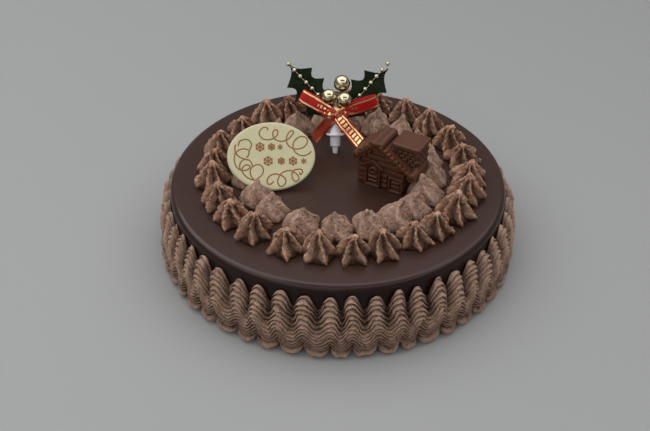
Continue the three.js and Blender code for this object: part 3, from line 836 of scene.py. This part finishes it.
house = {
    "foot": (8.9, -4.3, 33.75),
    "turn": -29.7,
    "width": 22.4,
    "depth": 12.4,
    "roof": [(-1.6, 14.2), (8.6, 24.1), (27.8, 11.4)],  # left eave, ridge and right eave
    "roofThick": 2.4,
    "overhang": 1.3,
    "wallIn": 0.5,
    "logIn": 0.55,
    "logShort": 0.1,
    "logFlat": 0.45,
    "logPitch": 2.7,
    "strip": 2.1,
    "knob": 0.95,
    "brick": {"length": 2.0, "height": 1.1, "pitch": 2.6, "rise": 1.65, "shift": 1.3, "low": 12.2},
    "door": [(4, 0.2), (11.4, 0.2), (11.4, 9.6), (7.8, 12.6), (4, 9.6)],
    "wreath": {"at": (7.7, 8.4), "radius": 1.3, "thick": 0.42, "steps": 14},
    "relief": {  # left, right, front, back, low, high
        "doorFrame": [(4, 4.7, -1.0, 0.5, 0.2, 9.6), (10.7, 11.4, -1.0, 0.5, 0.2, 9.6),
                      (4, 11.4, -1.0, 0.5, 0.2, 0.9)],
        "doorPanels": [(5.6, 9.8, -0.75, 0.5, 2.5, 3.2), (5.6, 9.8, -0.75, 0.5, 4.6, 5.3)],
        "windowFrame": [(15.5, 22.3, -1.1, 0.4, 7.1, 7.9), (15.5, 22.3, -1.1, 0.4, 0.3, 1.1),
                        (15.5, 16.3, -1.1, 0.4, 0.3, 7.9), (21.5, 22.3, -1.1, 0.4, 0.3, 7.9)],
        "window": [(16, 21.8, -0.3, 0.5, 0.6, 7.6), (17, 20.8, -0.85, 0.4, 2.9, 3.6),
                   (17, 20.8, -0.85, 0.4, 5.0, 5.7)],
        "bricks": [(12.9, 14.8, -0.9, 0.4, low, low + 1.5) for low in (1.2, 3.9, 6.6)],
    },
    "block": {"left": 14.3, "right": 27.5, "front": 3.2, "back": 16.0, "top": 23.0, "lip": 2.4,
              "round": 0.7},
    "voxel": 0.2,
    "soften": 14,
    "crevice": 0.08,
    # the third colour of the finish is painted shade for the crevices
    "finish": {"low": (0.092, 0.032, 0.016, 1), "high": (0.138, 0.051, 0.027, 1),
               "sunk": (0.022, 0.0075, 0.004, 1), "tone": (6, 4), "fine": (0.7, 3), "rough": (0.24, 0.14),
               "dent": (0.25, 0.25, 0.4), "Specular_IOR_Level": 0.3, "Subsurface_Weight": 0.05,
               "Subsurface_Scale": 0.001},
}


def addBlock(bm, left, right, front, back, low, high):
    made = bmesh.ops.create_cube(bm, size=1)["verts"]
    bmesh.ops.scale(bm, vec=(right - left, back - front, high - low), verts=made)
    moved(bm, made, ((left + right) / 2, (front + back) / 2, (low + high) / 2))
    return made


def addPrism(bm, outline, front, back):
    face = bm.faces.new([bm.verts.new((x, front, z)) for x, z in outline])
    drawnOut(bm, [face], (0, back - front, 0))


def addLog(bm, start, end, radius, sides=14, flat=1.0):
    start, end = Vector(start), Vector(end)
    made = bmesh.ops.create_cone(bm, cap_ends=True, segments=sides, radius1=radius, radius2=radius,
                                 depth=(end - start).length)["verts"]
    bmesh.ops.scale(bm, vec=(flat, 1, 1), verts=made)
    pointed(bm, made, end - start)
    moved(bm, made, (start + end) / 2)


def roofAt(x):
    return along(house["roof"], x)


def addWalls(bm):
    width, depth, thick, wallIn = (house[key] for key in ("width", "depth", "roofThick", "wallIn"))
    (leftX, leftZ), (ridgeX, ridgeZ), (rightX, rightZ) = house["roof"]
    under = thick / 2
    addPrism(bm, [(wallIn, 0), (width - wallIn, 0), (width - wallIn, roofAt(width) - under),
                  (ridgeX, ridgeZ - under), (wallIn, roofAt(0) - under)], wallIn, depth - wallIn)
    leftSlope = (ridgeZ - leftZ) / (ridgeX - leftX)
    rightSlope = (ridgeZ - rightZ) / (rightX - ridgeX)
    logIn, logShort = house["logIn"], house["logShort"]
    half = house["logPitch"] / 2 + 0.1
    z = half
    while z < ridgeZ - 5:  # courses of flattened logs
        drop = ridgeZ - z - thick - 0.6
        left = max(logShort, ridgeX - drop / leftSlope)
        right = min(width - logShort, ridgeX + drop / rightSlope)
        ends = [((left, y, z), (right, y, z)) for y in (logIn, depth - logIn)]
        ends += [((x, logShort, z), (x, depth - logShort, z))
                 for x, wall in ((logIn, 0), (width - logIn, width)) if z < roofAt(wall) - thick]
        for start, end in ends:
            addLog(bm, start, end, half, 20, house["logFlat"])
        z += house["logPitch"]


def addRoof(bm):
    thick, front, back = house["roofThick"], -house["overhang"], house["depth"] + house["overhang"]
    (leftX, leftZ), (ridgeX, ridgeZ), (rightX, rightZ) = house["roof"]
    addPrism(bm, [(leftX, leftZ - thick), (ridgeX, ridgeZ - thick), (rightX, rightZ - thick),
                  (rightX, rightZ - 0.5), (ridgeX, ridgeZ - 0.5), (leftX, leftZ - 0.5)], front, back)
    for endX, endZ, shares in ((leftX + 1.2, leftZ - 0.2, (0.13, 0.42, 0.71, 1)),
                               (rightX - 1.6, rightZ - 0.5, (0.1, 1))):
        for share in shares:  # half-round strips run along the roof
            x, z = lerp(ridgeX, endX, share), lerp(ridgeZ - 1.3, endZ, share)
            addLog(bm, (x, front, z), (x, back, z), house["strip"], 24)
    for count, start, end in ((6, (leftX + 0.6, leftZ + 0.4), (ridgeX, ridgeZ)),
                              (10, (ridgeX, ridgeZ), (rightX - 0.8, rightZ + 0.3))):
        for knob in range(count):  # small log ends along the front edges
            share = (knob + 0.5) / count
            x, z = lerp(start[0], end[0], share), lerp(start[1], end[1], share) - 0.75
            addLog(bm, (x, front - 0.4, z), (x, front + 1.4, z), house["knob"])


def addBlockOnRoof(bm):
    block, brick = house["block"], house["brick"]
    left, right, front, back, top = (block[key] for key in ("left", "right", "front", "back", "top"))
    addBlock(bm, left + 0.2, right - 0.9, front + 0.9, back - 0.9, 10, top - 1)
    slab = addBlock(bm, left, right, front, back, top - block["lip"], top)
    rounded(bm, list({edge for vert in slab for edge in vert.link_edges}), block["round"], 4)
    long, high, pitch = (brick[key] for key in ("length", "height", "pitch"))
    row, z = 0, brick["low"]
    while z < top - block["lip"] - 1.2:
        shift = brick["shift"] if row % 2 else 0.0
        x = left + 0.3 + shift
        while x < right - 1.4:
            addBlock(bm, x, min(x + long, right - 0.7), front + 0.2, front + 1.2, z, z + high)
            x += pitch
        y = front + 1.0 + shift
        while y < back - 1.4:
            addBlock(bm, right - 1.2, right - 0.25, y, min(y + long, back - 0.7), z, z + high)
            y += pitch
        row, z = row + 1, z + brick["rise"]


def addFront(bm):
    for drop in (0, 1.5):  # two strips make the hood over the door
        addPrism(bm, [(2.5 + drop, 9.4), (7.8, 13.6 - drop), (12.9 - drop, 9.6), (12.9 - drop, 10.5),
                      (7.8, 14.5 - drop), (2.5 + drop, 10.3)], -1.35 + 0.3 * drop, 0.6)
    addPrism(bm, house["door"], -0.3, 0.6)
    for blocks in house["relief"].values():
        for sizes in blocks:
            addBlock(bm, *sizes)
    wreath = house["wreath"]
    ring = []
    for step in range(wreath["steps"]):
        angle = step * fullTurn / wreath["steps"]
        ring.append(Vector((wreath["at"][0] + wreath["radius"] * math.cos(angle), -0.45,
                            wreath["at"][1] + wreath["radius"] * math.sin(angle))))
    for start, end in zip(ring, ring[1:] + ring[:1]):
        addLog(bm, start, end, wreath["thick"], 10)


def soften(bm, passes):
    for step in range(passes):
        bmesh.ops.smooth_vert(bm, verts=bm.verts, factor=0.5, use_axis_x=True, use_axis_y=True,
                              use_axis_z=True)


def makeHouse():
    bm = bmesh.new()
    addWalls(bm)
    addRoof(bm)
    addBlockOnRoof(bm)
    addFront(bm)
    bmesh.ops.recalc_face_normals(bm, faces=bm.faces)
    mould = objectOf("mould", bm)
    melt = mould.modifiers.new("melt", "REMESH")
    melt.mode = "VOXEL"
    melt.voxel_size = house["voxel"]
    bm = meshOf(mould)
    soften(bm, 1)
    hollow = bm.verts.layers.float.new("hollow")
    bm.normal_update()
    crisp = [(vert.co.copy(), vert.normal.copy()) for vert in bm.verts]
    soften(bm, house["soften"])
    for vert, (place, facing) in zip(bm.verts, crisp):  # what softening would fill is a crevice, which takes painted shade
        vert[hollow] = min(1, max(0, (vert.co - place).dot(facing) / house["crevice"]))
        vert.co = place
    turned(bm, bm.verts, math.radians(house["turn"]), "Z")
    moved(bm, bm.verts, house["foot"])
    finish = mottledFinish("milkChocolate", **house["finish"])
    addPiece("mouldedHouse", bm, finish, "milk_chocolate", "house")


makeHouse()
print("house moulded")


# Holly pick: peg and stem

pick = {
    "foot": (-1.05, 17.6, 34.0),
    "tilt": -28.0,
    "profile": [(0, -0.6), (1.1, -0.6), (1.4, 2.6), (2.3, 2.8), (2.5, 7.7), (4.3, 7.95), (4.3, 8.65),
                (2.5, 8.85), (2.4, 13.2), (0.5, 13.5), (0.45, 27.5), (0, 27.5)],
    "round": 0.12,
    "finish": {"low": (0.92, 0.91, 0.96, 1), "high": (0.98, 0.97, 1.0, 1), "tone": (3, 2), "fine": (3, 2),
               "rough": (0.32, 0.12), "Subsurface_Weight": 0.2, "Subsurface_Scale": 0.001},
}
mirror = {"left": -1, "right": 1}
pickPlace = Matrix.Translation(pick["foot"]) @ Matrix.Rotation(math.radians(pick["tilt"]), 4, "X")


def addToPick(name, bm, finish, slot, *nodes):
    bmesh.ops.transform(bm, matrix=pickPlace, verts=bm.verts)
    addPiece(name, bm, finish, slot, *nodes)


def makePeg():
    bm = spinLine(pick["profile"], 40)
    sharp = [edge for edge in bm.edges if edge.is_manifold and edge.calc_face_angle() > 0.5]
    rounded(bm, sharp, pick["round"], 2)
    addToPick("whitePeg", bm, mottledFinish("whitePeg", **pick["finish"]), "white_peg", "pick")


makePeg()


# Holly leaves

leaf = {
    "length": 32.4,
    "thickness": 0.45,
    "spines": [(0, 0.9), (0.295, 7.8), (0.52, 8.9), (0.745, 7.4), (1, 0.35)],
    "notch": [0.4, 2.9, 3.2, 2.2],
    "bend": 3.1,
    "wave": 0.7,
    "base": (1.7, 0.1, 15.5),
    "turns": {"left": 38.6, "right": -44.6},
    "midrib": 0.5,
    "vein": {"depth": 0.22, "pitch": 3.2, "slant": 4.2},
    "finish": {"low": (0.003, 0.006, 0.0015, 1), "high": (0.015, 0.030, 0.008, 1), "tone": (4, 4),
               "fine": (0.5, 2), "rough": (0.38, 0.15), "dent": (0.3, 0.3, 0.3), "Specular_IOR_Level": 0.12},
}


def makeLeaf(side, finish):
    vein = leaf["vein"]
    bm = bmesh.new()
    bmesh.ops.create_grid(bm, x_segments=60, y_segments=24, size=0.5)
    for vert in bm.verts:
        station = (vert.co.x + 0.5) * 4
        v = vert.co.y * 2
        arc = min(3, int(station + 1e-6))
        share = station - arc
        (startAt, startWide), (endAt, endWide) = leaf["spines"][arc], leaf["spines"][arc + 1]
        half = lerp(startWide, endWide, share) - leaf["notch"][arc] * math.sin(math.pi * share)
        up = lerp(startAt, endAt, share) * leaf["length"]
        bend = ease(0, 0.2, up / leaf["length"])
        depth = leaf["bend"] * bend + leaf["wave"] * v * v * math.cos(math.pi * station) * bend
        veins = abs(math.sin(math.pi * (up / vein["pitch"] - abs(v * half) / vein["slant"])))
        depth += leaf["midrib"] * math.exp(-(v * half) ** 2 / 0.5) * bend
        depth -= vein["depth"] * veins * bend * (1 - v * v)
        vert.co = (-v * half, depth, up)
    bmesh.ops.recalc_face_normals(bm, faces=bm.faces)
    bmesh.ops.solidify(bm, geom=bm.faces[:], thickness=leaf["thickness"])
    turned(bm, bm.verts, math.radians(-leaf["turns"][side]), "Y")
    out, y, z = leaf["base"]
    moved(bm, bm.verts, (mirror[side] * out, y, z))
    addToPick(f"hollyLeaf.{side}", bm, finish, "holly_leaf", f"leaf_{side}")


hollyFinish = mottledFinish("hollyLeaf", **leaf["finish"])
for side in mirror:
    makeLeaf(side, hollyFinish)
print("leaves cut")


# Gold beads on wires, and gold balls

gold = {
    "bead": 1.05,
    "wire": 0.09,
    "collar": {"radius1": 0.9, "radius2": 0.6, "depth": 0.7},
    "beads": 6,
    "back": 1.2,
    "strands": {"left": ((-8.2, 26.6), (-21.9, 40.6)), "right": ((11.2, 26.3), (24.1, 41.0))},
    "innerOut": 1.2,
    "innerAt": (0.8, 20.6),
    "balls": {"top": ((2.9, -0.4, 32), 3.85, (1.2, -0.7, 27.2)),
              "left": ((-3.2, -3.3, 25.9), 3.65, (-1, -0.9, 22.6)),
              "right": ((4.1, -4.1, 24.5), 3.65, (1.05, -0.9, 22))},
    "metal": {"low": (0.60, 0.49, 0.28, 1), "tone": (2.4, 3), "fine": (0.4, 3), "dent": (0, 0.06, 0.3),
              "Metallic": 1.0},
    "pearl": {"high": (0.86, 0.81, 0.66, 1), "rough": (0.16, 0.14)},
    "bright": {"high": (0.76, 0.69, 0.52, 1), "rough": (0.04, 0.05)},
}


def makeStrand(side, finish):
    (startX, startZ), (endX, endZ) = gold["strands"][side]
    start, end = Vector((startX, gold["back"], startZ)), Vector((endX, gold["back"], endZ))
    inner = Vector((mirror[side] * gold["innerOut"], *gold["innerAt"]))
    bm = pipedLines([[inner, start, start.lerp(end, 0.5), end]], gold["wire"], 10)
    for bead in range(gold["beads"]):
        made = bmesh.ops.create_uvsphere(bm, u_segments=24, v_segments=16, radius=gold["bead"])["verts"]
        moved(bm, made, start.lerp(end, bead / (gold["beads"] - 1)))
    addToPick(f"beadStrand.{side}", bm, finish, "gold_bead", f"beads_{side}")


def makeBall(name, finish):
    centre, radius, wireEnd = gold["balls"][name]
    centre, wireEnd = Vector(centre), Vector(wireEnd)
    way = (wireEnd - centre).normalized()
    bm = pipedLines([[centre, wireEnd]], gold["wire"])
    made = bmesh.ops.create_uvsphere(bm, u_segments=56, v_segments=36, radius=radius)["verts"]
    moved(bm, made, centre)
    collar = bmesh.ops.create_cone(bm, cap_ends=True, segments=24, **gold["collar"])["verts"]
    pointed(bm, collar, way)
    moved(bm, collar, centre + way * (radius + 0.15))
    addToPick(f"goldBall.{name}", bm, finish, "gold_ball", f"ball_{name}")


beadFinish = mottledFinish("pearlGold", **gold["metal"], **gold["pearl"])
ballFinish = mottledFinish("brightGold", **gold["metal"], **gold["bright"])
for side in mirror:
    makeStrand(side, beadFinish)
for ballName in gold["balls"]:
    makeBall(ballName, ballFinish)
print("beads and balls strung")


# Ribbon bow

bow = {
    "centre": (0, -3, 18.2),
    "width": 6.0,
    "thickness": 0.3,
    "loops": [((-16, 0, 8.5), 4), ((19.2, 0, 6.2), 16)],  # reach, and degrees that the face turns down
    "tails": [((-10.2, 3.4, -12.2), 2.5, 0.6), ((11.4, -5.2, -13.0), 2.9, -0.6)],
    "gather": (0.72, 0.7),  # share of the width at the knot, and depth of the folds there
    "puff": (0.9, 0.7),  # half the room in a loop at the knot, and what farther out adds
    "cup": {"loops": 0.15, "tails": 0.2},
    "tailStart": 1.9,
    "sway": 0.8,
    "knot": (6.2, 2.1, 2.9),
    "red": (0.66, 0.016, 0.012, 1),
    "deepRed": (0.36, 0.006, 0.005, 1),
    # painted shade: the left tail's reds are darker, duller copies of the loops' reds
    "shadedRed": (0.54, 0.062, 0.034, 1),
    "shadedDeepRed": (0.29, 0.045, 0.024, 1),
    "gold": (0.95, 0.72, 0.34, 1),
    # painted shade: the left tail's gold is a darker copy of the loops' gold
    "shadedGold": (0.50, 0.23, 0.11, 1),
    "stripe": (0.09, 0.2),
    "dashes": {"loops": (0.036, 0.1, 0.33), "left": (0.11, 0.0, 0.0), "right": (0.11, 0.2, -1.0)},
    "knotLumps": [(0.8, 0.3, 3), (0.3, 0.16, 5)],
}


def ribbonFinish(name, dashes, *shades):
    dashStep, dashHalf, dashFrom = bow["dashes"][dashes]  # they start dashFrom from mid strip
    finish, shader, place = newFinish(name, Specular_IOR_Level=0.25)
    dark, light, shine = (bow[shade] for shade in shades)
    uv = place.node("TexCoord", output=2)
    u, v = part(uv, "x"), part(uv, "y")
    tone = cloud(place, 3, 3)
    edgeIn = v.sum("ABSOLUTE", v - 0.5, 0.0)
    low, high = bow["stripe"]
    stripe = edgeIn.sum("GREATER_THAN", edgeIn, 0.5 - high) * edgeIn.sum("LESS_THAN", edgeIn, 0.5 - low)
    step = u.sum("FRACT", u / dashStep, 0.0)
    dash = step.sum("GREATER_THAN", step, 0.45) * edgeIn.sum("LESS_THAN", edgeIn, dashHalf)
    dash = dash * u.sum("GREATER_THAN", u.sum("ABSOLUTE", u - 0.5, 0.0), dashFrom)
    goldMask = stripe.sum("MAXIMUM", stripe, dash)
    ribs = place.node("TexWave", {"wave_type": "BANDS"}, {"Vector": uv, "Scale": 24.0, "Distortion": 0.4})
    feed(shader, {
        "Base Color": tinted(goldMask, tinted(tone, dark, light), shine),
        "Metallic": 0.95 * goldMask,
        "Roughness": 0.36 - 0.12 * goldMask + 0.1 * (tone - 0.5),
        "Normal": dented(ribs + 2.0 * goldMask, 0.15, 0.08),
    })
    return finish


def knotFinish():
    finish, shader, place = newFinish("ribbonKnot", Specular_IOR_Level=0.5)
    patch = ramped(cloud(place, 2.2, 2, 0.5, 0.6), (0.5, 0), (0.56, 1))
    tone = cloud(place, 1.2, 3)
    feed(shader, {
        "Base Color": tinted(patch, tinted(tone, bow["deepRed"], bow["red"]), bow["gold"]),
        "Metallic": 0.95 * patch,
        "Roughness": 0.3 + 0.1 * tone,
        "Normal": dented(tone, 0.5, 0.5),
    })
    return finish


def stripOf(bm, columns, rows, place):  # a flat strip, laid out by place(u, v), closed round its edge
    bm.loops.layers.uv.verify()
    made = bmesh.ops.create_grid(bm, x_segments=columns, y_segments=rows, size=0.5, calc_uvs=True)["verts"]
    for vert in made:
        vert.co = place(vert.co.x + 0.5, vert.co.y * 2)
    faces = list({face for vert in made for face in vert.link_faces})
    bmesh.ops.solidify(bm, geom=faces, thickness=bow["thickness"])


def makeLoops():
    centre = Vector(bow["centre"])
    (narrow, folds), (atKnot, inLoop) = bow["gather"], bow["puff"]
    bm = bmesh.new()
    for reach, facing in bow["loops"]:
        reach = Vector(reach)
        out = reach.normalized()
        down = math.copysign(math.radians(facing), reach.x)
        deep = Matrix.Rotation(down, 3, out) @ Vector((0, 1, 0))
        wide = out.cross(deep)

        def place(u, v):
            gather = ease(0, 0.55, math.sin(math.pi * u))
            half = bow["width"] / 2 * lerp(narrow, 1, gather)
            back = -atKnot * math.cos(math.pi * u) - inLoop * math.sin(fullTurn * u)
            back += folds * (1 - gather) * math.sin(v * 6.5 + u * 30) + bow["cup"]["loops"] * v * v * gather
            return centre + out * reach.length * math.sin(math.pi * u) + deep * back + wide * v * half

        stripOf(bm, 64, 12, place)
    finish = ribbonFinish("loopRibbon", "loops", "deepRed", "red", "gold")
    addToPick("ribbonLoops", bm, finish, "ribbon", "ribbon_bow")


def makeTails():
    centre = Vector(bow["centre"])
    finishes = (ribbonFinish("tailRibbon.left", "left", "shadedDeepRed", "shadedRed", "shadedGold"),
                ribbonFinish("tailRibbon.right", "right", "deepRed", "red", "gold"))
    for (reach, half, slant), side, finish in zip(bow["tails"], mirror, finishes):
        bm = bmesh.new()
        reach = Vector(reach)
        out = reach.normalized()
        wide = out.cross(Vector((0, 1, 0))).normalized()
        normal = out.cross(wide).normalized()

        def place(u, v):
            run = (reach.length + slant * v * u) * u
            sway = bow["sway"] * math.sin(fullTurn * u) + bow["cup"]["tails"] * v * v
            across = v * lerp(bow["tailStart"], half, min(1, 3 * u))
            return centre + out * run + wide * across + normal * sway

        stripOf(bm, 40, 12, place)
        addToPick(f"ribbonTail.{side}", bm, finish, "ribbon")


def makeKnot():
    bm = bmesh.new()
    bmesh.ops.create_uvsphere(bm, u_segments=48, v_segments=32, radius=1)
    for vert in bm.verts:
        x, y, z = vert.co
        swell = 1 + lumps(3 * x, y, 2 * z, bow["knotLumps"])
        vert.co = Vector((x * bow["knot"][0], y * bow["knot"][1], z * bow["knot"][2])) * swell
    moved(bm, bm.verts, bow["centre"])
    addToPick("ribbonKnot", bm, knotFinish(), "ribbon")


makeLoops()
makeTails()
makeKnot()
print("bow tied")
